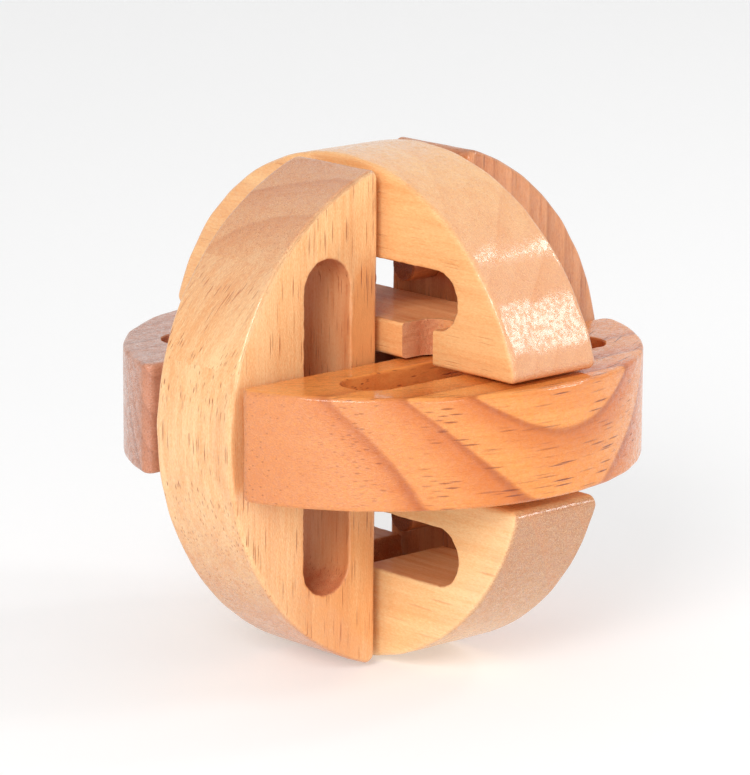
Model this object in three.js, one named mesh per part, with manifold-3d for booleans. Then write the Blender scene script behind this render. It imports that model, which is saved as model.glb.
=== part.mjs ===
// A ball-shaped wooden burr puzzle: six flat segments cut from one board size, three crossing pairs, each pair
// held a board's thickness apart by the next pair. Dowel pins in the chord edges run in the neighbours' slots.
// The key plate has no pins: slid along its slot until its two grooves meet the pins, it lifts off.
// Millimetres, +Z up. The origin is the centre of the puzzle's bounding box.
import * as THREE from "three";
import { mergeVertices } from "three/addons/utils/BufferGeometryUtils.js";
import Module from "manifold-3d";

// The boards
const ARC_RADIUS = 35.5; // radius of each plate's curved rim
const PLATE_RISE = 26; // chord edge to the crown of the rim
const THICKNESS = 15;
const EDGE_EASE = 0.7; // sanded round on the edges between rim and faces
const TIP_RADIUS = 1.3; // the two sharp tips of a segment, seen flat on
const CHORD_GAP = 1.2; // from a chord edge to the faces of the pair that it crosses

// The dowel pins
const PIN_DIAMETER = 4.4;
const PIN_REACH = 4.9; // how far a pin stands out of the chord edge
const PIN_CHAMFER = 0.4;
const PIN_PLAY = 1.8; // room on each side of a pin in the slot that it runs in
const GLUE_GAP = 0.3; // round a pin and under its end, in its blind hole
const HOLE_WEB = 0.4; // wood left between the end of a pin's hole and the slot

// The slots
const SLOT_WIDTH = PIN_DIAMETER + 2 * PIN_PLAY;
const SLOT_LENGTH = 45.5;
const SLOT_BAR = 4.9; // the bar of wood between slot and chord edge

// The key plate's two grooves, which let the left and right plates' pins out of its slot
const GROOVE_ROOM = 1.5; // wider than a pin by this much
const GROOVE_CLEAR = 2.2; // deeper than a pin reaches by this much
const GROOVE_OFFSET = -15.4; // along the plate, from its middle

// The pocket in the outer wall of the lower plate's slot
const POCKET_DEPTH = 5;

// How fine the round stretches are
const ARC_STEPS = 40;
const TIP_STEPS = 3;
const SLOT_STEPS = 10;
const PIN_SIDES = 20;
const EASE_STEPS = 2;
const PAST = 1; // how far a cutter stands past the wood it cuts

// Where each plate has settled in its play, as shares of CHORD_GAP: out from the centre, along its chord edge
// and through its thickness
const REST = {
  left: { out: 0, along: -0.25, through: -0.6 },
  right: { out: 0.15, along: -0.1, through: 0.45 },
  key: { out: -0.33, along: 0.45, through: -0.12 },
  lower: { out: 0, along: 0.3, through: 0.3 },
  front: { out: 0.75, along: -0.4, through: 0.37 },
  back: { out: 0.42, along: 0, through: 0.17 },
};

// The directions of each plate in the puzzle. Out points away from the centre, along runs with the chord edge.
const X = new THREE.Vector3(1, 0, 0);
const Y = new THREE.Vector3(0, 1, 0);
const Z = new THREE.Vector3(0, 0, 1);
const LAY = {
  left: { out: X.clone().negate(), along: Z, through: Y },
  right: { out: X, along: Z, through: Y },
  key: { out: Z, along: Y, through: X },
  lower: { out: Z.clone().negate(), along: Y, through: X },
  front: { out: Y.clone().negate(), along: X, through: Z },
  back: { out: Y, along: X, through: Z },
};

const CHORD_OUT = THICKNESS / 2 + CHORD_GAP; // the chord edge's distance from the centre
const SLOT_MIDDLE = SLOT_BAR + SLOT_WIDTH / 2; // above the chord edge
const PIN_RADIUS = PIN_DIAMETER / 2;
const PIN_EMBED = SLOT_BAR - HOLE_WEB - GLUE_GAP;
const PIN_OFFSET = CHORD_OUT + SLOT_MIDDLE; // from a plate's middle, so that the pins meet their slots' middles
const GROOVE_WIDTH = PIN_DIAMETER + GROOVE_ROOM;
const GROOVE_DEPTH = PIN_REACH - CHORD_GAP + GROOVE_CLEAR;

const wasm = await Module();
wasm.setup();

// A closed geometry as a solid that can be cut.
function toSolid(geometry) {
  const bare = geometry.clone();
  bare.deleteAttribute("normal");
  bare.deleteAttribute("uv");
  const merged = mergeVertices(bare, 1e-4);
  const vertProperties = new Float32Array(merged.attributes.position.array);
  const triVerts = new Uint32Array(merged.index.array);
  return new wasm.Manifold(new wasm.Mesh({ numProp: 3, vertProperties, triVerts }));
}

// The solid back as a geometry.
function toGeometry(solid) {
  const mesh = solid.getMesh();
  const geometry = new THREE.BufferGeometry();
  geometry.setAttribute("position", new THREE.BufferAttribute(new Float32Array(mesh.vertProperties), 3));
  geometry.setIndex(new THREE.BufferAttribute(new Uint32Array(mesh.triVerts), 1));
  geometry.computeVertexNormals();
  return geometry;
}

// The segment's outline, eased inwards by EDGE_EASE so that the bevel brings it back to size.
// Here x runs along the chord edge and y outwards, from the chord edge at y = 0.
function segmentOutline() {
  const radius = ARC_RADIUS - EDGE_EASE;
  const centre = PLATE_RISE - ARC_RADIUS; // the arc's centre, below the chord edge
  const tip = TIP_RADIUS - EDGE_EASE;
  const tipY = EDGE_EASE + tip; // centre of each tip's small arc
  const tipX = Math.sqrt((radius - tip) ** 2 - (tipY - centre) ** 2);
  const lean = Math.atan2(tipY - centre, tipX);
  const outline = new THREE.Shape();
  outline.moveTo(-tipX, EDGE_EASE);
  outline.lineTo(tipX, EDGE_EASE);
  addArc(outline, tipX, tipY, tip, -Math.PI / 2, lean, TIP_STEPS);
  addArc(outline, 0, centre, radius, lean, Math.PI - lean, ARC_STEPS);
  addArc(outline, -tipX, tipY, tip, Math.PI - lean, 1.5 * Math.PI, TIP_STEPS);
  return outline;
}

// An arc as straight steps from one angle to the other; its first point is already on the path.
function addArc(path, x, y, radius, from, to, steps) {
  for (let i = 1; i <= steps; i++) {
    const angle = from + ((to - from) * i) / steps;
    path.lineTo(x + radius * Math.cos(angle), y + radius * Math.sin(angle));
  }
}

// An oblong with round ends, along x, centred on (0, y).
function oblong(length, width, y) {
  const radius = width / 2;
  const reach = length / 2 - radius;
  const outline = new THREE.Shape();
  outline.moveTo(-reach, y - radius);
  outline.lineTo(reach, y - radius);
  addArc(outline, reach, y, radius, -Math.PI / 2, Math.PI / 2, SLOT_STEPS);
  outline.lineTo(-reach, y + radius);
  addArc(outline, -reach, y, radius, Math.PI / 2, 1.5 * Math.PI - Math.PI / SLOT_STEPS, SLOT_STEPS - 1);
  return outline;
}

// A straight prism on an outline, centred on z = 0.
function prism(outline, height) {
  const geometry = new THREE.ExtrudeGeometry(outline, { depth: height, bevelEnabled: false });
  geometry.translate(0, 0, -height / 2);
  return toSolid(geometry);
}

// The whole segment with eased edges, before anything is cut into it.
function segment() {
  const geometry = new THREE.ExtrudeGeometry(segmentOutline(), {
    depth: THICKNESS - 2 * EDGE_EASE,
    bevelThickness: EDGE_EASE,
    bevelSize: EDGE_EASE,
    bevelSegments: EASE_STEPS,
  });
  geometry.translate(0, 0, EDGE_EASE - THICKNESS / 2);
  return toSolid(geometry);
}

// A round bar along y, for a pin or its hole, from one height to another.
function bar(radius, from, to, chamfer) {
  const half = (to - from) / 2;
  const profile = [
    new THREE.Vector2(0, -half),
    new THREE.Vector2(radius, -half),
    new THREE.Vector2(radius, half - chamfer),
    new THREE.Vector2(radius - chamfer, half),
    new THREE.Vector2(0, half),
  ];
  if (chamfer === 0) profile.splice(3, 1);
  const geometry = new THREE.LatheGeometry(profile, PIN_SIDES);
  geometry.translate(0, (from + to) / 2, 0);
  return geometry;
}

// The blind holes that the pins are glued into.
function cutPinHoles(plate) {
  let cut = plate;
  for (const side of [-1, 1]) {
    const hole = bar(PIN_RADIUS + GLUE_GAP, -PAST, PIN_EMBED + GLUE_GAP, 0);
    hole.translate(side * PIN_OFFSET, 0, 0);
    cut = cut.subtract(toSolid(hole));
  }
  return cut;
}

// The key's round-bottomed grooves, one in each face, from the chord edge up into the slot.
function cutGrooves(plate) {
  const half = GROOVE_WIDTH / 2;
  const mouth = THICKNESS / 2 + PAST;
  const floor = THICKNESS / 2 - GROOVE_DEPTH;
  const outline = new THREE.Shape();
  outline.moveTo(half, mouth);
  outline.lineTo(-half, mouth);
  outline.lineTo(-half, floor + half);
  addArc(outline, 0, floor + half, half, Math.PI, 2 * Math.PI, SLOT_STEPS);
  const height = SLOT_MIDDLE + PAST;
  let cut = plate;
  for (const face of [1, -1]) {
    const groove = new THREE.ExtrudeGeometry(outline, { depth: height, bevelEnabled: false });
    groove.rotateX(-Math.PI / 2);
    if (face > 0) groove.rotateY(Math.PI);
    groove.translate(GROOVE_OFFSET, -PAST, 0);
    cut = cut.subtract(toSolid(groove));
  }
  return cut;
}

// The round-ended pocket outwards from the middle of the lower plate's slot.
function cutPocket(plate) {
  const radius = SLOT_WIDTH / 2; // the slot's own cutter
  const end = SLOT_BAR + SLOT_WIDTH + POCKET_DEPTH - radius;
  const outline = new THREE.Shape();
  outline.moveTo(-radius, SLOT_MIDDLE);
  outline.lineTo(radius, SLOT_MIDDLE);
  addArc(outline, 0, end, radius, 0, Math.PI, 2 * SLOT_STEPS);
  return plate.subtract(prism(outline, THICKNESS + 2 * PAST));
}

// Turns and moves a piece from the plate's own frame (x along, y out, z through) into the puzzle.
function lay(mesh, side) {
  const { out, along, through } = LAY[side];
  const rest = REST[side];
  // The frame (along, out, through) can be left-handed; the plates are symmetric, so z may be turned over.
  const up = new THREE.Vector3().crossVectors(along, out);
  mesh.setRotationFromMatrix(new THREE.Matrix4().makeBasis(along, out, up));
  mesh.position.copy(out).multiplyScalar(CHORD_OUT + rest.out * CHORD_GAP);
  mesh.position.addScaledVector(along, rest.along * CHORD_GAP);
  mesh.position.addScaledVector(through, rest.through * CHORD_GAP);
  return mesh;
}

function wood(colour) {
  return new THREE.MeshStandardMaterial({ color: colour, roughness: 0.35, metalness: 0 });
}

function plateMesh(side, colour, cutExtra) {
  let solid = segment().subtract(prism(oblong(SLOT_LENGTH, SLOT_WIDTH, SLOT_MIDDLE), THICKNESS + 2 * PAST));
  solid = cutExtra(solid);
  const mesh = new THREE.Mesh(toGeometry(solid), wood(colour));
  mesh.name = `${side}_plate`;
  return lay(mesh, side);
}

function pinMesh(side, end, name) {
  const geometry = bar(PIN_RADIUS, -PIN_EMBED, PIN_REACH, PIN_CHAMFER);
  geometry.rotateX(Math.PI); // the long free end points inwards, below the chord edge
  geometry.translate(end * PIN_OFFSET, 0, 0);
  const mesh = new THREE.Mesh(toGeometry(toSolid(geometry)), wood(0xc98f5c));
  mesh.name = `${side}_plate_pin_${name}`;
  return lay(mesh, side);
}

const PINNED = [
  { side: "left", colour: 0xe0a673, ends: { bottom: -1, top: 1 }, cut: cutPinHoles },
  { side: "right", colour: 0xd9a878, ends: { bottom: -1, top: 1 }, cut: cutPinHoles },
  { side: "front", colour: 0xd98f55, ends: { left: -1, right: 1 }, cut: cutPinHoles },
  { side: "back", colour: 0xb98266, ends: { left: -1, right: 1 }, cut: cutPinHoles },
  { side: "lower", colour: 0xe3b07a, ends: { front: -1, back: 1 }, cut: (plate) => cutPocket(cutPinHoles(plate)) },
];

const pieces = new THREE.Group();
pieces.add(plateMesh("key", 0xeab683, cutGrooves));
for (const { side, colour, ends, cut } of PINNED) {
  pieces.add(plateMesh(side, colour, cut));
  for (const [name, end] of Object.entries(ends)) pieces.add(pinMesh(side, end, name));
}

// The origin goes to the middle of the puzzle's box.
const middle = new THREE.Box3().setFromObject(pieces, true).getCenter(new THREE.Vector3());
pieces.position.copy(middle).negate();
const puzzle = new THREE.Group();
puzzle.add(pieces);

export default puzzle;
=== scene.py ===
import math

import bpy
import numpy as np
from mathutils import Matrix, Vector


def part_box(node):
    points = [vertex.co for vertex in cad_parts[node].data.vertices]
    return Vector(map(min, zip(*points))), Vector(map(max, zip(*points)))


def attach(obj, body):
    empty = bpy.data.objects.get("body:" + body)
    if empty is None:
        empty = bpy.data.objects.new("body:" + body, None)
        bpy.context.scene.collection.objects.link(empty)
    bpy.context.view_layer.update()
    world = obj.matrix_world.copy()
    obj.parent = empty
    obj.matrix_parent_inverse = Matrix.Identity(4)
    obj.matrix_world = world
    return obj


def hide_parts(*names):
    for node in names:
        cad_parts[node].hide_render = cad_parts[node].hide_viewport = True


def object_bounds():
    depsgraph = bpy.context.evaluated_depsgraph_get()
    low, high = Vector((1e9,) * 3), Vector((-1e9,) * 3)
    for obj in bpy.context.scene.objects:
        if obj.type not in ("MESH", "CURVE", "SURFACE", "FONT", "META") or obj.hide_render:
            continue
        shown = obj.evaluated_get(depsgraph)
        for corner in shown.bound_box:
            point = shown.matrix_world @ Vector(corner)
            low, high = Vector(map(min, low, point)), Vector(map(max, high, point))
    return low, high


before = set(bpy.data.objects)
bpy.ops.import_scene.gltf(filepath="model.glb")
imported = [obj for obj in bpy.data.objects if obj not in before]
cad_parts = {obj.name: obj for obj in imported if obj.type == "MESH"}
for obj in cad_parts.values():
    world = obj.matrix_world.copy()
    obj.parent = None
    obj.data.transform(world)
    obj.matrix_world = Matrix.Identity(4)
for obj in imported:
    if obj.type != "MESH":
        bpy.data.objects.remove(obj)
cad_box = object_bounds()
MM = 0.001

# ---------------------------------------------------------------------------
# Lower plate. A half-round board of pale hardwood, 15 mm thick, sawn to a D,
# with a long slot routed through it and a half-round pocket off the slot's
# outer side. Sanded, its arrises eased by hand, and lacquered all over.
# ---------------------------------------------------------------------------

ARC_RADIUS = 35.5
PLATE_RISE = 26.0
TIP_RADIUS = 1.3
HALF_THICK = 7.5
SLOT_HALF = 22.75
SLOT_HIGH = 12.9
SLOT_LOW = 4.9
POCKET_REACH = 5.0
POCKET_SOFT = 0.5  # radius at the corners of the pocket's mouth

# Points round an outline. The slot's loop has as many as the rim's, so rows can join them one to one.
CHORD_STEPS = 60
TIP_STEPS = 10
ARC_STEPS = 220
POINTS = CHORD_STEPS + 2 * TIP_STEPS + ARC_STEPS
WALL_STEPS = 120  # along the slot's outer wall
LIP_STEPS = 28  # from the slot's end to the pocket's mouth
CORNER_STEPS = 6
SIDE_STEPS = 4
FLOOR_STEPS = WALL_STEPS - 2 * (LIP_STEPS + CORNER_STEPS + SIDE_STEPS)


def bend(centre, radius, start, stop, count, side=1.0):
    """An arc: centre + radius * (cos t, sin t) for count values of t from start up to, not including, stop.
    The second array holds the unit normals, side * (cos t, sin t)."""
    t = np.radians(np.linspace(start, stop, count, endpoint=False))
    unit = np.stack([np.cos(t), np.sin(t)], 1)
    return np.asarray(centre) + radius * unit, side * unit


def run(start, stop, normal, count):
    """A straight run: start + u * (stop - start) for count values of u from 0 up to, not including, 1."""
    u = np.linspace(0, 1, count, endpoint=False)[:, None]
    path = np.asarray(start) * (1 - u) + np.asarray(stop) * u
    return path, np.tile(np.asarray(normal, float), (count, 1))


def joined(parts):
    """The runs and bends laid end to end: one array of points and one of normals."""
    return np.concatenate([p[0] for p in parts]), np.concatenate([p[1] for p in parts])


def rim_loop():
    """The D outline, counter-clockwise, with normals out of the wood: the chord along y = 0, a small bend at
    each tip, and the arc about (0, rise - radius). A tip's bend touches both the chord and the arc, so its
    centre is its own radius above the chord and (arc radius - tip radius) from the arc's centre."""
    drop = ARC_RADIUS - PLATE_RISE
    reach = math.sqrt((ARC_RADIUS - TIP_RADIUS) ** 2 - (drop + TIP_RADIUS) ** 2)
    turn = math.degrees(math.atan2(drop + TIP_RADIUS, reach))
    return joined([
        run((-reach, 0), (reach, 0), (0, -1), CHORD_STEPS),
        bend((reach, TIP_RADIUS), TIP_RADIUS, -90, turn, TIP_STEPS),
        bend((0, -drop), ARC_RADIUS, turn, 180 - turn, ARC_STEPS),
        bend((-reach, TIP_RADIUS), TIP_RADIUS, 180 - turn, 270, TIP_STEPS),
    ])


def slot_loop(pocket=False):
    """The slot's outline, point for point beside rim_loop, with normals into the wood: two straight walls and
    two half circles. The pocket is a U of the slot's own width let into the outer wall, its mouth corners
    slightly rounded."""
    half = (SLOT_HIGH - SLOT_LOW) / 2
    straight = SLOT_HALF - half
    middle = SLOT_LOW + half
    end = (ARC_STEPS - WALL_STEPS) // 2
    if pocket:
        mouth = half + POCKET_SOFT
        corner = SLOT_HIGH + POCKET_SOFT
        deep = SLOT_HIGH + POCKET_REACH - half
        upper = [
            run((straight, SLOT_HIGH), (mouth, SLOT_HIGH), (0, 1), LIP_STEPS),
            bend((mouth, corner), POCKET_SOFT, 270, 180, CORNER_STEPS, -1),
            run((half, corner), (half, deep), (1, 0), SIDE_STEPS),
            bend((0, deep), half, 0, 180, FLOOR_STEPS),
            run((-half, deep), (-half, corner), (-1, 0), SIDE_STEPS),
            bend((-mouth, corner), POCKET_SOFT, 0, -90, CORNER_STEPS, -1),
            run((-mouth, SLOT_HIGH), (-straight, SLOT_HIGH), (0, 1), LIP_STEPS),
        ]
    else:
        upper = [run((straight, SLOT_HIGH), (-straight, SLOT_HIGH), (0, 1), WALL_STEPS)]
    return joined([
        run((-straight, SLOT_LOW), (straight, SLOT_LOW), (0, -1), CHORD_STEPS),
        bend((straight, middle), half, -90, -60, TIP_STEPS),
        bend((straight, middle), half, -60, 90, end),
        *upper,
        bend((-straight, middle), half, 90, 240, end),
        bend((-straight, middle), half, 240, 270, TIP_STEPS),
    ])


def drift(phase, seed, waves, count=6):
    """A slow random wave, mostly between -1 and 1: 1.6 times the weighted mean of a few sines of phase, with
    random whole wave numbers and starts."""
    dice = np.random.default_rng(seed)
    wave = dice.integers(waves[0], waves[1], count)
    start = dice.uniform(0, 2 * np.pi, count)
    size = dice.uniform(0.5, 1.0, count)
    total = sum(a * np.sin(2 * np.pi * k * phase + s) for k, s, a in zip(wave, start, size))
    return total / size.sum() * 1.6


ARRIS = 0.62
ARRIS_SWAY = 0.22  # how unevenly the arrises are sanded, as a share of them
SLOT_ARRIS = 0.3
SLOT_SWAY = 0.35
RIM_LAND = 0.3  # a row this far beside an arris keeps its round from spreading
SLOT_LAND = 0.2
RIM_RUB = 0.03  # hollows left in the surface by sanding
SLOT_RUB = 0.035


def arris_turn(size, steps):
    """An arris as steps of (move, drop, turned) along a quarter circle of this size: size (1 - cos f) back
    from the wall, size (1 - sin f) below the face, and f's share of the turn, with f from 0 to 90 degrees."""
    return [(size * (1 - math.cos(f)), size * (1 - math.sin(f)), f / (np.pi / 2))
            for f in np.radians(np.linspace(0, 90, steps))]


def board_half(rim, rim_out, slot, slot_out, face, seed):
    """The rows of half a plate, from the middle of the slot's wall, up the wall, round the slot's arris,
    across the flat face as a mix of the slot's loop and the rim's, round the rim's arris and down the rim to
    its middle. A row is a loop, its normals, how far each point moves along them, its height, and how much it
    is a slot's wall."""
    phase = np.arange(POINTS) / POINTS
    still = np.zeros(POINTS)
    level = np.ones(POINTS)
    arris = ARRIS * (1 + ARRIS_SWAY * drift(phase, seed + face, (3, 22)))
    crisp = SLOT_ARRIS * (1 + SLOT_SWAY * drift(phase, seed + 7 + face, (5, 40)))
    rows = [(slot, slot_out, still, share * HALF_THICK * level, 1.0) for share in (0.0, 0.35, 0.7)]
    rows.append((slot, slot_out, still, HALF_THICK - crisp - SLOT_LAND, 1.0))
    rows += [(slot, slot_out, move, HALF_THICK - drop, 1.0 - turned)
             for move, drop, turned in arris_turn(crisp, 5)]
    inner = slot + slot_out * (crisp + SLOT_LAND)[:, None]
    outer = rim - rim_out * (arris + RIM_LAND)[:, None]
    rows += [(inner * (1 - share) + outer * share, rim_out, still, HALF_THICK * level, 0.0)
             for share in np.linspace(0, 1, 7)]
    rows += [(rim, rim_out, -drop, HALF_THICK - move, 0.0) for move, drop, turned in arris_turn(arris, 7)]
    rows.append((rim, rim_out, still, HALF_THICK - arris - RIM_LAND, 0.0))
    rows += [(rim, rim_out, still, share * HALF_THICK * level, 0.0) for share in (0.66, 0.44, 0.22, 0.0)]
    return rows


def board_rows(pocket, seed):
    """The plate's skin as rows of points (along, outwards, through) with the loops' normals added, and how
    far each point is into a slot's wall. The second half mirrors the first, and sanding moves the rows that
    follow the slot's and the rim's loops by a slow wave; the rows across the flat face stay put."""
    rim, rim_out = rim_loop()
    slot, slot_out = slot_loop(pocket)
    phase = np.arange(POINTS) / POINTS
    halves = []
    for face, sign in ((0, -1.0), (1, 1.0)):
        skin = []
        for loop, out, move, height, wall in board_half(rim, rim_out, slot, slot_out, face, seed):
            lift = height / HALF_THICK * sign
            if loop is slot:
                move = move + SLOT_RUB * (1 + drift(phase + 0.13 * lift, seed + 20, (30, 90), 9))
            if loop is rim:
                move = move - RIM_RUB * (1 + drift(phase + 0.05 * lift, seed + 30, (6, 30), 9))
            skin.append((np.column_stack([loop + out * move[:, None], sign * height]), wall))
        halves.append(skin)
    ring = halves[0] + halves[1][::-1][1:-1]
    return np.stack([points for points, wall in ring]), np.repeat([wall for points, wall in ring], POINTS)


AXES = {"x": np.array([1.0, 0, 0]), "y": np.array([0, 1.0, 0]), "z": np.array([0, 0, 1.0])}


def seat(node, out):
    """Where a plate's own axes lie: (origin in mm, along, outwards, through) from its CAD node's box.
    The origin is the middle of the chord edge."""
    low, high = (np.array(corner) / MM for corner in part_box(node))
    sign = -1.0 if out[0] == "-" else 1.0
    axis = out[1]
    along = {"x": "z", "z": "y", "y": "x"}[axis]
    through = ({"x", "y", "z"} - {axis, along}).pop()
    origin = (low + high) / 2
    k = "xyz".index(axis)
    origin[k] = low[k] if sign > 0 else high[k]
    return origin, AXES[along], sign * AXES[axis], AXES[through]


def skin_mesh(name, rows, wrap_rows=True, caps=False, wall=None):
    """A grid of points as a closed mesh of quads. Columns always wrap; rows wrap too unless caps close the
    ends."""
    count, steps = rows.shape[:2]
    index = np.arange(count * steps).reshape(count, steps)
    below = np.roll(index, -1, 0) if wrap_rows else index[1:]
    here = index if wrap_rows else index[:-1]
    quads = np.stack([here, np.roll(here, -1, 1), np.roll(below, -1, 1), below], -1).reshape(-1, 4)
    faces = quads.tolist()
    if caps:
        faces += [index[0][::-1].tolist(), index[-1].tolist()]
    mesh = bpy.data.meshes.new(name)
    mesh.from_pydata((rows.reshape(-1, 3) * MM).tolist(), [], faces)
    mark = mesh.attributes.new("cut_wall", "FLOAT", "POINT")
    mark.data.foreach_set("value", np.zeros(count * steps) if wall is None else wall)
    mesh.update()
    return mesh


def face_out(mesh):
    """Turns every face outwards when the mesh's signed volume, the sum over faces of centre . area vector, is
    negative."""
    count = len(mesh.polygons)
    centre = np.zeros(count * 3)
    normal = np.zeros(count * 3)
    area = np.zeros(count)
    mesh.polygons.foreach_get("center", centre)
    mesh.polygons.foreach_get("normal", normal)
    mesh.polygons.foreach_get("area", area)
    centre = centre.reshape(-1, 3) - centre.reshape(-1, 3).mean(0)
    if ((centre * normal.reshape(-1, 3)).sum(1) * area).sum() < 0:
        mesh.flip_normals()


def in_world(rows, place):
    """Points in a plate's own axes (along, outwards, through) put where the plate sits."""
    origin, along, outwards, through = place
    return origin + rows[..., 0:1] * along + rows[..., 1:2] * outwards + rows[..., 2:3] * through


def soften(mesh):
    """Shades the mesh smooth except where it turns by more than 32 degrees."""
    mesh.shade_smooth()
    mesh.set_sharp_from_angle(angle=math.radians(32))


def put(mesh):
    """The mesh as an object in the scene, its faces pointing out."""
    face_out(mesh)
    soften(mesh)
    piece = bpy.data.objects.new(mesh.name, mesh)
    bpy.context.scene.collection.objects.link(piece)
    return piece


def cut(piece, tools):
    """Cuts each tool's closed shape out of the piece and keeps the result as the piece's mesh."""
    for tool in tools:
        step = piece.modifiers.new("cut", "BOOLEAN")
        step.operation = "DIFFERENCE"
        step.solver = "EXACT"
        step.object = tool
    bpy.context.view_layer.update()
    done = bpy.data.meshes.new_from_object(piece.evaluated_get(bpy.context.evaluated_depsgraph_get()))
    piece.modifiers.clear()
    old = piece.data
    done.name = old.name + "_cut"
    piece.data = done
    bpy.data.meshes.remove(old)
    for tool in tools:
        bpy.data.objects.remove(tool)
    soften(done)


PIN_RADIUS = 2.2
PIN_PLACES = (-17.6, 17.6)
HOLE_SLACK = 0.03
HOLE_DEPTH = 4.25
HOLE_POINT = 0.25  # the drill's point goes this much deeper
HOLE_STEPS = 56


def drill(place, where):
    """A blind hole's cutting shape: circles of the hole's radius about (where, depth, 0), from outside the
    chord edge to the hole's floor, the last ring a little smaller for the drill's point."""
    turn = np.linspace(0, 2 * np.pi, HOLE_STEPS, endpoint=False)
    radius = PIN_RADIUS + HOLE_SLACK
    depths = np.array([-1.0, 0.05, HOLE_DEPTH, HOLE_DEPTH + HOLE_POINT])
    radii = np.array([radius, radius, radius, 0.3 * radius])
    rows = np.stack([
        where + radii[:, None] * np.cos(turn),
        np.repeat(depths[:, None], turn.size, 1),
        radii[:, None] * np.sin(turn),
    ], -1)
    return put(skin_mesh("drill", in_world(rows, place), wrap_rows=False, caps=True,
                         wall=np.ones(rows.shape[0] * turn.size)))


class Tone:
    """A socket in a wood's shader. Sums, products and powers of it add Math nodes; node() adds any other
    node."""

    def __init__(self, socket):
        self.socket = socket

    def node(self, kind, settings, inputs, output=0):
        """Adds a node: its settings first, then each socket's value or link, and gives one of its outputs."""
        tree = self.socket.id_data
        new = tree.nodes.new(kind)
        for key, value in settings.items():
            setattr(new, key, value)
        for key, value in inputs.items():
            if isinstance(value, Tone):
                tree.links.new(value.socket, new.inputs[key])
            else:
                new.inputs[key].default_value = value
        return Tone(new.outputs[output])

    def sum_of(self, operation, *values):
        """A Math node of the given operation on these values."""
        return self.node("ShaderNodeMath", {"operation": operation}, dict(enumerate(values)))

    def __add__(self, other):
        return self.sum_of("ADD", self, other)

    __radd__ = __add__

    def __mul__(self, other):
        return self.sum_of("MULTIPLY", self, other)

    __rmul__ = __mul__

    def __sub__(self, other):
        return self.sum_of("SUBTRACT", self, other)

    def __rsub__(self, other):
        return self.sum_of("SUBTRACT", other, self)

    def __truediv__(self, other):
        return self.sum_of("DIVIDE", self, other)

    def __pow__(self, other):
        return self.sum_of("POWER", self, other)

    def ease(self, low, high):
        """0 below low, 1 above high, and a smooth step between; low may be the larger."""
        flip = low > high
        step = self.node("ShaderNodeMapRange", {"interpolation_type": "SMOOTHSTEP"},
                         {0: self, 1: min(low, high), 2: max(low, high)})
        return 1 - step if flip else step

    def point(self, x, y, z):
        """The three values as one vector."""
        return self.node("ShaderNodeCombineXYZ", {}, {0: x, 1: y, 2: z})

    def parts(self):
        """The vector's three values."""
        return [self.node("ShaderNodeSeparateXYZ", {}, {0: self}, k) for k in range(3)]

    def vector(self, operation, other, output=0):
        """A Vector Math node of the given operation on this vector and the other."""
        return self.node("ShaderNodeVectorMath", {"operation": operation}, {0: self, 1: other}, output)

    def cloud(self, x, y, z, detail=2.0, roughness=0.5):
        """Noise about 0 at the point (x, y, z), roughly -0.5 to 0.5."""
        noise = self.node("ShaderNodeTexNoise", {}, {"Vector": self.point(x, y, z), "Scale": 1.0,
                                                     "Detail": detail, "Roughness": roughness})
        return noise - 0.5

    def blend(self, other, share):
        """This colour, moved towards the other by share."""
        return self.node("ShaderNodeMix", {"data_type": "RGBA"}, {0: share, 6: self, 7: other}, 2)


def shade(red, green, blue):
    """A colour from its 0 to 255 screen values, as the linear values a shader takes."""
    screen = np.array([red, green, blue]) / 255
    linear = np.where(screen <= 0.04045, screen / 12.92, ((screen + 0.055) / 1.055) ** 2.4)
    return (*linear.tolist(), 1.0)


def jointed(a, b, c, pieces, rim, rings):
    """Where a finger-jointed board's lengths show, on its rim only: their fibres' own slant, tone and share
    of rings. Each piece is (where it starts along a, tone, slant in b, slant in c, rings more than the last);
    rim is the arc's centre (b, a) and radius. The fingers' ragged ends come from a fine cloud on the joint's
    height."""
    level, ring_part, lean_b, lean_c = a * 0, a * 0 + rings, a * 0, a * 0
    ragged = a + a.cloud(b * 0.9, c * 0.9, 3.1) * 1.1
    reach = ((b - rim[0]) ** 2.0 + (a - rim[1]) ** 2.0) ** 0.5
    skin = reach.ease(rim[2] - 0.8, rim[2] - 0.35)
    for start, tone, slant_b, slant_c, more in pieces:
        inside = ragged.sum_of("GREATER_THAN", ragged, start) * skin
        lean_b = lean_b + inside * (a * slant_b + 5.0 - lean_b)
        lean_c = lean_c + inside * (a * slant_c - lean_c)
        level = level + inside * (tone - level)
        ring_part = ring_part + inside * more
    return b + lean_b, c + lean_c, level, ring_part


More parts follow.
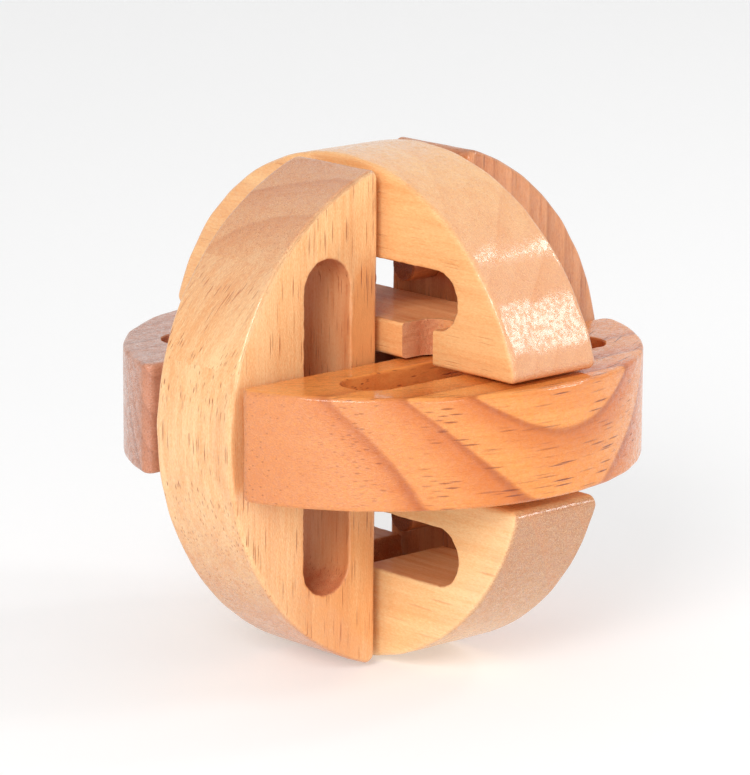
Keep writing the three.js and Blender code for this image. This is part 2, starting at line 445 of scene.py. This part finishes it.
def growth_rings(a, b, c, pith, gap, seed, luck=0.7, shift=0.0, start=-10.0, lean=(0.0, 0.0),
                 uneven=(0.0, 10.0, 0.0)):
    """How much each point is in a ring's late wood, and in the dark line that ends it, both 0 to 1. Ring
    number = (distance from the pith line + shift) / gap, and its fraction is the place in the ring. The line
    leans by lean per mm of a and a slow cloud bends it; uneven = (size, half period, from) adds a sine of the
    distance; each ring has its own strength by luck, none is inside start, and a cloud wears them here and
    there."""
    sway = [a.cloud(a * 0.012 + seed + k * 9.0, b * 0.045, c * 0.045, 1.0) for k in (1, 2)]
    away = ((b - pith[0] + a * lean[0] + sway[0] * 4.0) ** 2.0
            + (c - pith[1] + a * lean[1] + sway[1] * 4.0) ** 2.0) ** 0.5
    swing = (away - uneven[2]) * (math.pi / uneven[1])
    ring = (away - swing.sum_of("SINE", swing) * uneven[0] + shift) / gap
    part = ring.sum_of("FRACT", ring)
    number = ring.sum_of("FLOOR", ring)
    chance = number.node("ShaderNodeTexWhiteNoise", {"noise_dimensions": "1D"}, {"W": number + seed})
    worn = 0.55 + a.cloud(a * 0.05, b * 0.12, c * 0.12 + seed, 2.0).ease(-0.3, 0.35) * 0.45
    strength = (1.0 - luck + chance * luck) * away.ease(start, start + 5.0) * worn
    late = part.ease(0.15, 0.9) * part.ease(1.0, 0.9) * strength
    line = part.ease(0.78, 0.9) * part.ease(0.99, 0.92) * strength
    return late, line


def vessel_marks(a, b, c, broad, size, crowd, seed):
    """Vessels, 0 to 1: the cores of two sizes of Voronoi cells drawn out along a, a share of them left out by
    crowd, and thinner where the broad cloud is low."""
    marks = []
    for across, spread, along in ((2.7, 0.33, 0.15), (1.9, 0.23, 0.10)):
        where = a.point(a * (along / size) + seed, b * (across / size), c * (across / size))
        away = a.node("ShaderNodeTexVoronoi", {"feature": "F1"},
                      {"Vector": where, "Scale": 1.0, "Randomness": 1.0})
        tint = a.node("ShaderNodeSeparateColor", {}, {0: Tone(away.socket.node.outputs["Color"])})
        marks.append(away.ease(spread, spread * 0.35) * tint.ease(crowd, 1.0))
    return a.sum_of("MAXIMUM", *marks) * (0.8 + broad * 1.8).ease(0.1, 0.9)


def patch_darkening(place, streak, dark_patches):
    """Soft darker patches, summed: each patch is (middle, half sizes, strength) and fades at the edge of that
    ellipsoid, which the streaks make ragged."""
    total = 0.0
    for middle, half, amount in dark_patches:
        away = place.vector("SUBTRACT", middle).vector("DIVIDE", half)
        away = away.node("ShaderNodeVectorMath", {"operation": "LENGTH"}, {0: away}, 1) + streak * 0.8
        total = away.ease(1.1, 0.5) * amount + total
    return total


BUMP_HEIGHT = 0.1
CUT_SHARE = 0.45  # how far a slot's cut wall goes to its own darker tone


def wood(name, grain, pith, ring_gap, pale, deep, band, fleck=(176, 96, 46), end_grain_and_shade_tone=(214, 146, 108),
         rings=0.5, ring_marks=None, streaks=0.5, flecks=0.6, vessel_size=1.0, crowd=0.35, bow=0.0,
         pieces=(), rim=None, dark_patches=(), seed=0.0, gloss=0.85, cut_tone=(198, 86, 26)):
    """Lacquered hardwood as a solid pattern in millimetres. a runs along the grain, b and c across it. The
    ground goes from pale to deep with clouds drawn out along a (streaks and fibres), a fine speck and darker
    patches.
    Over it lie the end grain's tone, where the normal runs along a, the rings' late wood (band), their lines
    and the vessels (fleck), and the tone of freshly cut slot walls. The end grain's tone is its own darker
    colour, and the lower plate's is darker still as painted shade on its rim's underside. bow bends the
    fibres to follow a rim along a. The lacquer is thinner on cut walls and in small patches. ring_marks holds
    growth_rings' own settings."""
    material = bpy.data.materials.new(name)
    material.use_nodes = True
    tree = material.node_tree
    tree.nodes.clear()
    first = tree.nodes.new("ShaderNodeTexCoord")
    base = Tone(first.outputs["Object"])
    place = base.node("ShaderNodeVectorMath", {"operation": "SCALE"}, {0: base, "Scale": 1.0 / MM})
    split = place.parts()
    a, b, c = [split[k] for k in [grain] + [k for k in range(3) if k != grain]]
    end = Tone(first.outputs["Normal"]).parts()[grain]
    end = end.sum_of("ABSOLUTE", end).ease(0.1, 1.0)

    if pieces:
        across, level_c, level, ring_part = jointed(a, b, c, pieces, rim, rings)
    else:
        across, level_c, level, ring_part = b - a * a * bow, c, 0.0, rings
    late, line = growth_rings(a, b, c, pith, ring_gap, seed, **(ring_marks or {}))
    broad = a.cloud(a * 0.03 + seed, across * 0.14, level_c * 0.14, 2.0)
    streak = a.cloud(a * 0.035, across * 0.75 + seed, level_c * 0.75, 4.0, 0.62)
    fibre = a.cloud(a * 0.22, across * 4.6, level_c * 4.6 + seed, 3.0, 0.65)
    speck = a.cloud(a * 2.2, across * 6.0, level_c * 6.0 + seed, 2.0, 0.6)
    vessel = vessel_marks(a, across, level_c, broad, vessel_size, crowd, seed) * (1 - end * 0.55)
    wall = Tone(tree.nodes.new("ShaderNodeAttribute").outputs["Fac"])
    wall.socket.node.attribute_name = "cut_wall"

    depth = 0.45 + streaks * (streak * 1.6 + broad * 0.9) + fibre * 0.6 + speck * 1.1 + level
    depth = depth + patch_darkening(place, streak, dark_patches)
    colour = a.node("ShaderNodeMix", {"data_type": "RGBA"},
                    {0: depth.ease(0.0, 1.0), 6: shade(*pale), 7: shade(*deep)}, 2)
    # End grain's own darker tone; on the lower plate this tone is darker still, as painted shade under the
    # rim.
    colour = colour.blend(shade(*end_grain_and_shade_tone), (end * (0.66 + speck * 1.3)).ease(-0.2, 1.1))
    colour = colour.blend(shade(*band), late * ring_part)
    colour = colour.blend(shade(*fleck), line * ring_part * (0.42 + fibre * 0.5))
    colour = colour.blend(shade(*fleck), vessel * flecks)
    colour = colour.blend(shade(*cut_tone), (wall * (0.75 + streak * 1.1)).ease(0.0, 1.2) * CUT_SHARE)

    height = fibre * 0.2 - vessel * 0.8 + speck * (0.6 + end * 1.6)
    height = height + a.cloud(a * 0.5, b * 1.1, c * 1.1, 2.0) * 0.7
    bump = a.node("ShaderNodeBump", {}, {"Height": height, "Strength": 0.75, "Distance": BUMP_HEIGHT * MM})
    patch = a.cloud(a * 1.3 + seed, b * 1.3, c * 1.3, 4.0, 0.75).ease(-0.08, 0.1)
    skin = a.node("ShaderNodeBsdfPrincipled", {}, {
        "Base Color": colour,
        "Roughness": 0.34 + wall * 0.3 + vessel * 0.1 + broad * 0.1,
        "Coat Weight": (1 - wall * 0.8) * (0.25 + patch * 0.75) * gloss,
        "Normal": bump,
        "Coat Roughness": 0.11,
        "Specular IOR Level": 0.45,
    })
    out = tree.nodes.new("ShaderNodeOutputMaterial")
    tree.links.new(skin.socket, out.inputs["Surface"])
    return material


def plate(name, out, body, material, pocket=False, seed=1, tools=()):
    """Makes one plate from its node's box, drills and cuts it, and gives it to its body."""
    place = seat(name, out)
    rows, wall = board_rows(pocket, seed)
    piece = put(skin_mesh(name + "_board", in_world(rows, place), wall=wall))
    shapes = [tool(place) for tool in tools]
    if shapes:
        cut(piece, shapes)
    piece.data.materials.clear()
    piece.data.materials.append(material)
    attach(piece, body)
    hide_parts(name)


holes = [lambda place, at=at: drill(place, at) for at in PIN_PLACES]

# Its end grain's tone, (182, 112, 80), is darker than the other boards': the end grain's own colour, darkened
# further as painted shade on the underside of the rim.
lower_wood = wood("pale_board", 1, (40.0, 18.0), 3.1, (255, 220, 164), (246, 192, 128), (226, 146, 88),
                  fleck=(218, 130, 70), end_grain_and_shade_tone=(182, 112, 80), rings=0.3, streaks=0.7, flecks=0.35,
                  vessel_size=1.4, crowd=0.6, seed=3.0)
plate("lower_plate", "-z", "lower", lower_wood, pocket=True, seed=11, tools=holes)

# ---------------------------------------------------------------------------
# Left and right plates. Two more half-round boards stand on edge on the lower
# plate's pins. The left one is finger-jointed from three lengths whose grain
# runs at different slants; its top length shows the end of the rings.
# ---------------------------------------------------------------------------

# Two darker patches on the front face: a strip of darker grain beside the chord edge above the front plate,
# and a broad patch over the lower part of the face below the front plate.
left_wood = wood("jointed_board", 2, (-55.0, -15.0), 6.4, (252, 210, 154), (238, 168, 104), (202, 118, 70),
                 fleck=(172, 86, 36), rings=0.2, ring_marks=dict(shift=2.18), streaks=0.8, flecks=0.95,
                 crowd=0.15, rim=(0.62, 0.1, ARC_RADIUS),
                 pieces=((9.5, 0.0, -0.53, 0.36, -0.1), (22.6, 0.0, 0.0, 0.1, 0.35)),
                 dark_patches=(((-11.0, -8.0, 12.0), (3.0, 4.0, 11.0), 0.8),
                         ((-14.0, -8.0, -24.0), (12.0, 3.0, 13.0), 0.45)))
plate("left_plate", "-x", "left", left_wood, seed=21, tools=holes)

right_wood = wood("reddish_board", 2, (70.0, 20.0), 3.0, (226, 158, 108), (198, 120, 72), (158, 86, 46),
                  fleck=(130, 66, 36), end_grain_and_shade_tone=(204, 136, 96), rings=0.6, streaks=1.1, flecks=0.6, seed=8.0)
plate("right_plate", "+x", "right", right_wood, seed=31, tools=holes)

# ---------------------------------------------------------------------------
# Front and back plates. They lie level, round the standing pair. The front one
# is sawn from an orange board with broad dark rings, the back one is greyer.
# ---------------------------------------------------------------------------

front_wood = wood("ringed_board", 0, (100.0, -65.8), 4.82, (248, 164, 84), (228, 132, 54), (200, 96, 28),
                  fleck=(128, 52, 16), end_grain_and_shade_tone=(214, 134, 86), rings=1.0,
                  ring_marks=dict(luck=0.25, shift=3.04, start=137.5, lean=(-0.161, -0.28),
                                  uneven=(1.2, 9.64, 140.9)),
                  streaks=0.6, flecks=0.95, vessel_size=1.25, crowd=0.1, bow=0.012)
plate("front_plate", "-y", "front", front_wood, seed=41, tools=holes)

back_wood = wood("greyer_board", 0, (60.0, -30.0), 2.6, (216, 160, 134), (190, 126, 98), (140, 78, 54),
                 fleck=(120, 66, 44), end_grain_and_shade_tone=(204, 134, 100), rings=0.6, streaks=0.9, flecks=0.7, seed=5.0)
plate("back_plate", "+y", "back", back_wood, seed=51, tools=holes)

# ---------------------------------------------------------------------------
# Key plate. The top board has no pins. Two round-bottomed grooves, one in each
# face, run from its chord edge into its slot, cut across the grain with a
# coarse cutter that leaves their floors rough. They let the key lift off.
# ---------------------------------------------------------------------------

GROOVE_AT = -15.4
GROOVE_HALF = 2.95
GROOVE_DEPTH = 5.9
GROOVE_RISE = (-1.0, 8.0)  # from below the chord edge to inside the slot
GROOVE_ROUGH = 0.045
GROOVE_CUT_TONE = 0.35


def groove(side):
    """Gives a function that makes the groove's cutting shape: a U in (along, through), drawn out from below
    the chord edge to the slot's middle. The U is a half circle at the groove's floor and a straight side to
    beyond the face; a random roughness moves its points along the U's normals."""
    def shape(place):
        turn = np.radians(np.linspace(-90, 90, 44))
        arc = np.column_stack([np.sin(turn), -np.cos(turn)])
        floor = HALF_THICK - GROOVE_DEPTH + GROOVE_HALF
        top = HALF_THICK + 1 - floor
        section = np.concatenate([[[-GROOVE_HALF, top]], GROOVE_HALF * arc, [[GROOVE_HALF, top]]])
        outward = np.concatenate([[[-1, 0]], arc, [[1, 0]]])
        rises = np.linspace(*GROOVE_RISE, 40)
        dice = np.random.default_rng(60 + side)
        rough = dice.normal(0, GROOVE_ROUGH, (rises.size, section.shape[0]))
        rough[:, (0, -1)] = 0
        spread = section[None] + outward[None] * rough[..., None]
        rows = np.stack([
            GROOVE_AT + spread[..., 0],
            np.repeat(rises[:, None], section.shape[0], 1),
            side * (floor + spread[..., 1]),
        ], -1)
        return put(skin_mesh("groove_tool", in_world(rows, place), wrap_rows=False, caps=True,
                             wall=np.full(rows.shape[0] * rows.shape[1], GROOVE_CUT_TONE)))
    return shape


key_wood = wood("key_board", 1, (30.0, -18.0), 3.0, (252, 202, 140), (240, 168, 102), (218, 132, 72),
                fleck=(220, 130, 70), end_grain_and_shade_tone=(226, 160, 122), rings=0.25, streaks=0.6, flecks=0.3,
                crowd=0.5, seed=2.0)
plate("key_plate", "+z", "key", key_wood, seed=61, tools=[groove(-1), groove(1)])

# ---------------------------------------------------------------------------
# Dowel pins. Ten short lengths of hardwood dowel, sawn and lightly chamfered,
# glued in the blind holes. They stand proud of the chord edges and run in the
# neighbouring plates' slots, which keeps the ball together.
# ---------------------------------------------------------------------------

PIN_CHAMFER = 0.4
SIDE_RINGS = 22
OUT_OF_ROUND = 0.008
SAWN_DOME = 0.05


def dowel(node, body, axis, material, seed):
    """A turned pin about its node's middle: circles of radius r(u) along the axis, with a chamfer at each
    end, a slightly domed sawn end, and a little random out-of-round: r(u) * (1 - small wave of angle and
    length)."""
    low, high = (np.array(corner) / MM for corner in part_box(node))
    middle, length = (low + high) / 2, high[axis] - low[axis]
    across = [k for k in range(3) if k != axis]
    radius = (high[across[0]] - low[across[0]]) / 2
    edge = radius - PIN_CHAMFER
    bevel = edge + PIN_CHAMFER * np.sin(np.radians(np.linspace(20, 90, 5)))
    face = edge * np.array([0.05, 0.4, 0.75, 0.96])
    radii = np.concatenate([face, bevel, [radius] * SIDE_RINGS, bevel[::-1], face[::-1]])
    near = np.linspace(0.02, PIN_CHAMFER, 5)
    side = np.linspace(PIN_CHAMFER + 0.2, length - PIN_CHAMFER - 0.2, SIDE_RINGS)
    far = np.linspace(length - PIN_CHAMFER, length - 0.02, 5)
    rings = np.concatenate([[0.0] * 4, near, side, far, [length] * 4])
    turn = np.linspace(0, 2 * np.pi, 72, endpoint=False)
    dice = np.random.default_rng(seed)
    wave = sum(0.25 * np.sin(k * turn[None] + dice.uniform(0, 6) + rings[:, None] * dice.uniform(0, 0.8))
               for k in (2, 3, 5, 9))
    dome = np.where(radii < edge, SAWN_DOME, 0.0)[:, None] * np.cos(turn[None] * 2 + dice.uniform(0, 6))
    dome = dome * radii[:, None] / radius
    size = radii[:, None] * (1 - OUT_OF_ROUND * (1 + wave))
    inward = np.where(rings < length / 2, 1.0, -1.0)[:, None]
    rows = np.zeros((rings.size, turn.size, 3))
    rows[..., across[0]] = middle[across[0]] + size * np.cos(turn)
    rows[..., across[1]] = middle[across[1]] + size * np.sin(turn)
    rows[..., axis] = low[axis] + rings[:, None] + inward * np.abs(dome)
    piece = put(skin_mesh(node + "_dowel", rows, wrap_rows=False, caps=True))
    piece.data.materials.append(material)
    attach(piece, body)
    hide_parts(node)


DOWEL_TONES = dict(ring_gap=0.9, pale=(222, 146, 92), deep=(190, 110, 62), band=(150, 78, 38),
                   end_grain_and_shade_tone=(140, 76, 48), rings=0.5, streaks=0.6, flecks=0.7, gloss=0.2)
dowel_wood = [wood("dowel_" + "xyz"[k], k, (1.0, 1.5), seed=4.0 + k, **DOWEL_TONES) for k in range(3)]
for body, axis, ends in (
    ("lower", 2, ("front", "back")),
    ("left", 0, ("bottom", "top")),
    ("right", 0, ("bottom", "top")),
    ("front", 1, ("left", "right")),
    ("back", 1, ("left", "right")),
):
    for number, end in enumerate(ends):
        dowel(f"{body}_plate_pin_{end}", body, axis, dowel_wood[axis], 70 + 10 * axis + number)

# ---------------------------------------------------------------------------
# Table top. A plain pale sheet that runs level under the ball and sweeps up
# behind it, as a photographer's paper does.
# ---------------------------------------------------------------------------


CURVE = 0.5  # radius of the sweep, in metres from here on
NEAR, BEND, TOP = -1.4, 0.8, 2.0
HALF_WIDE = 2.0


def sweep():
    """The sheet's path as points (run, height): a level run, a quarter circle and an upright run."""
    turn = np.radians(np.linspace(0, 90, 25))
    level = np.column_stack([np.linspace(NEAR, BEND, 12), np.zeros(12)])
    curve = np.column_stack([BEND + CURVE * np.sin(turn), CURVE - CURVE * np.cos(turn)])[1:]
    upright = np.column_stack([np.full(6, BEND + CURVE), np.linspace(CURVE + 0.1, TOP, 6)])
    return np.concatenate([level, curve, upright])


heading = np.array([0.66, 0.75])
heading = heading / np.linalg.norm(heading)
sideways = np.array([heading[1], -heading[0]])
path = sweep()
wide = np.linspace(-HALF_WIDE, HALF_WIDE, 13)
grid = np.zeros((path.shape[0], wide.size, 3))
grid[..., :2] = path[:, :1, None] * heading + wide[None, :, None] * sideways
grid[..., 2] = path[:, 1:2] + cad_box[0][2]
order = np.arange(grid.shape[0] * grid.shape[1]).reshape(grid.shape[:2])
sheet_faces = np.stack([order[:-1, :-1], order[:-1, 1:], order[1:, 1:], order[1:, :-1]], -1).reshape(-1, 4)
sheet = bpy.data.meshes.new("paper_sweep")
sheet.from_pydata(grid.reshape(-1, 3).tolist(), [], sheet_faces.tolist())
sheet.shade_smooth()
paper = bpy.data.objects.new("paper_sweep", sheet)
bpy.context.scene.collection.objects.link(paper)
paper_white = bpy.data.materials.new("white_paper")
paper_white.use_nodes = True
paper_skin = paper_white.node_tree.nodes["Principled BSDF"]
for socket, value in (
    ("Base Color", (0.7, 0.7, 0.7, 1)),
    ("Emission Color", (1, 1, 1, 1)),
    ("Emission Strength", 0.34),
    ("Roughness", 0.9),
    ("Specular IOR Level", 0.1),
):
    paper_skin.inputs[socket].default_value = value
sheet.materials.append(paper_white)

# ---------------------------------------------------------------------------
# Studio. A bright even room, one large softbox from the left and above, a weak
# one low at the front to fill, and two small ones at the right that draw the
# gloss on the key's rim and on the front plate's upper arris.
# ---------------------------------------------------------------------------

world = bpy.data.worlds.new("studio")
bpy.context.scene.world = world
world.use_nodes = True
world.node_tree.nodes["Background"].inputs["Color"].default_value = (1.0, 1.0, 1.0, 1)
world.node_tree.nodes["Background"].inputs["Strength"].default_value = 0.48


def stance(right, up, back, place):
    """The matrix that stands a lamp or camera at place, with its own X, Y and Z along right, up and back."""
    turned = np.eye(4)
    turned[:3, 0], turned[:3, 1], turned[:3, 2], turned[:3, 3] = right, up, back, place
    return Matrix(turned.tolist())


def softbox(name, direction, distance, wide, tall, power):
    """A rectangular light that faces the ball from distance metres away; its power is in watts."""
    lamp = bpy.data.lights.new(name, "AREA")
    lamp.shape = "RECTANGLE"
    lamp.size = wide
    lamp.size_y = tall
    lamp.energy = power
    body = bpy.data.objects.new(name, lamp)
    bpy.context.scene.collection.objects.link(body)
    back = np.array(direction) / np.linalg.norm(direction)
    right = np.cross([0, 0, 1], back)
    right = right / np.linalg.norm(right)
    body.matrix_world = stance(right, np.cross(back, right), back, back * distance)


softbox("main_softbox", (-0.85, -0.48, 0.54), 1.0, 0.42, 0.42, 5.9)
softbox("front_softbox", (-0.3, -0.95, 0.16), 1.0, 0.3, 0.3, 1.2)
softbox("gloss_softbox", (0.66, -0.6, 0.45), 0.9, 0.18, 0.24, 1.6)
softbox("arris_softbox", (0.72, -0.2, 0.64), 0.9, 0.12, 0.14, 0.7)

camera_lens = bpy.data.cameras.new("camera")
camera_lens.lens = 207.62
camera_lens.sensor_width = 36.0
camera_lens.clip_start = 0.02
camera = bpy.data.objects.new("camera", camera_lens)
bpy.context.scene.collection.objects.link(camera)
look = np.array([0.66109, 0.71557, -0.22565])
look = look / np.linalg.norm(look)
right = np.array([0.73556, -0.67742, 0.00678])
right = right - look * right.dot(look)
right = right / np.linalg.norm(right)
camera_place = np.array([-402.613, -433.879, 138.503]) * MM
camera.matrix_world = stance(right, np.cross(right, look), -look, camera_place)
bpy.context.scene.camera = camera
bpy.context.scene.view_settings.view_transform = "Standard"
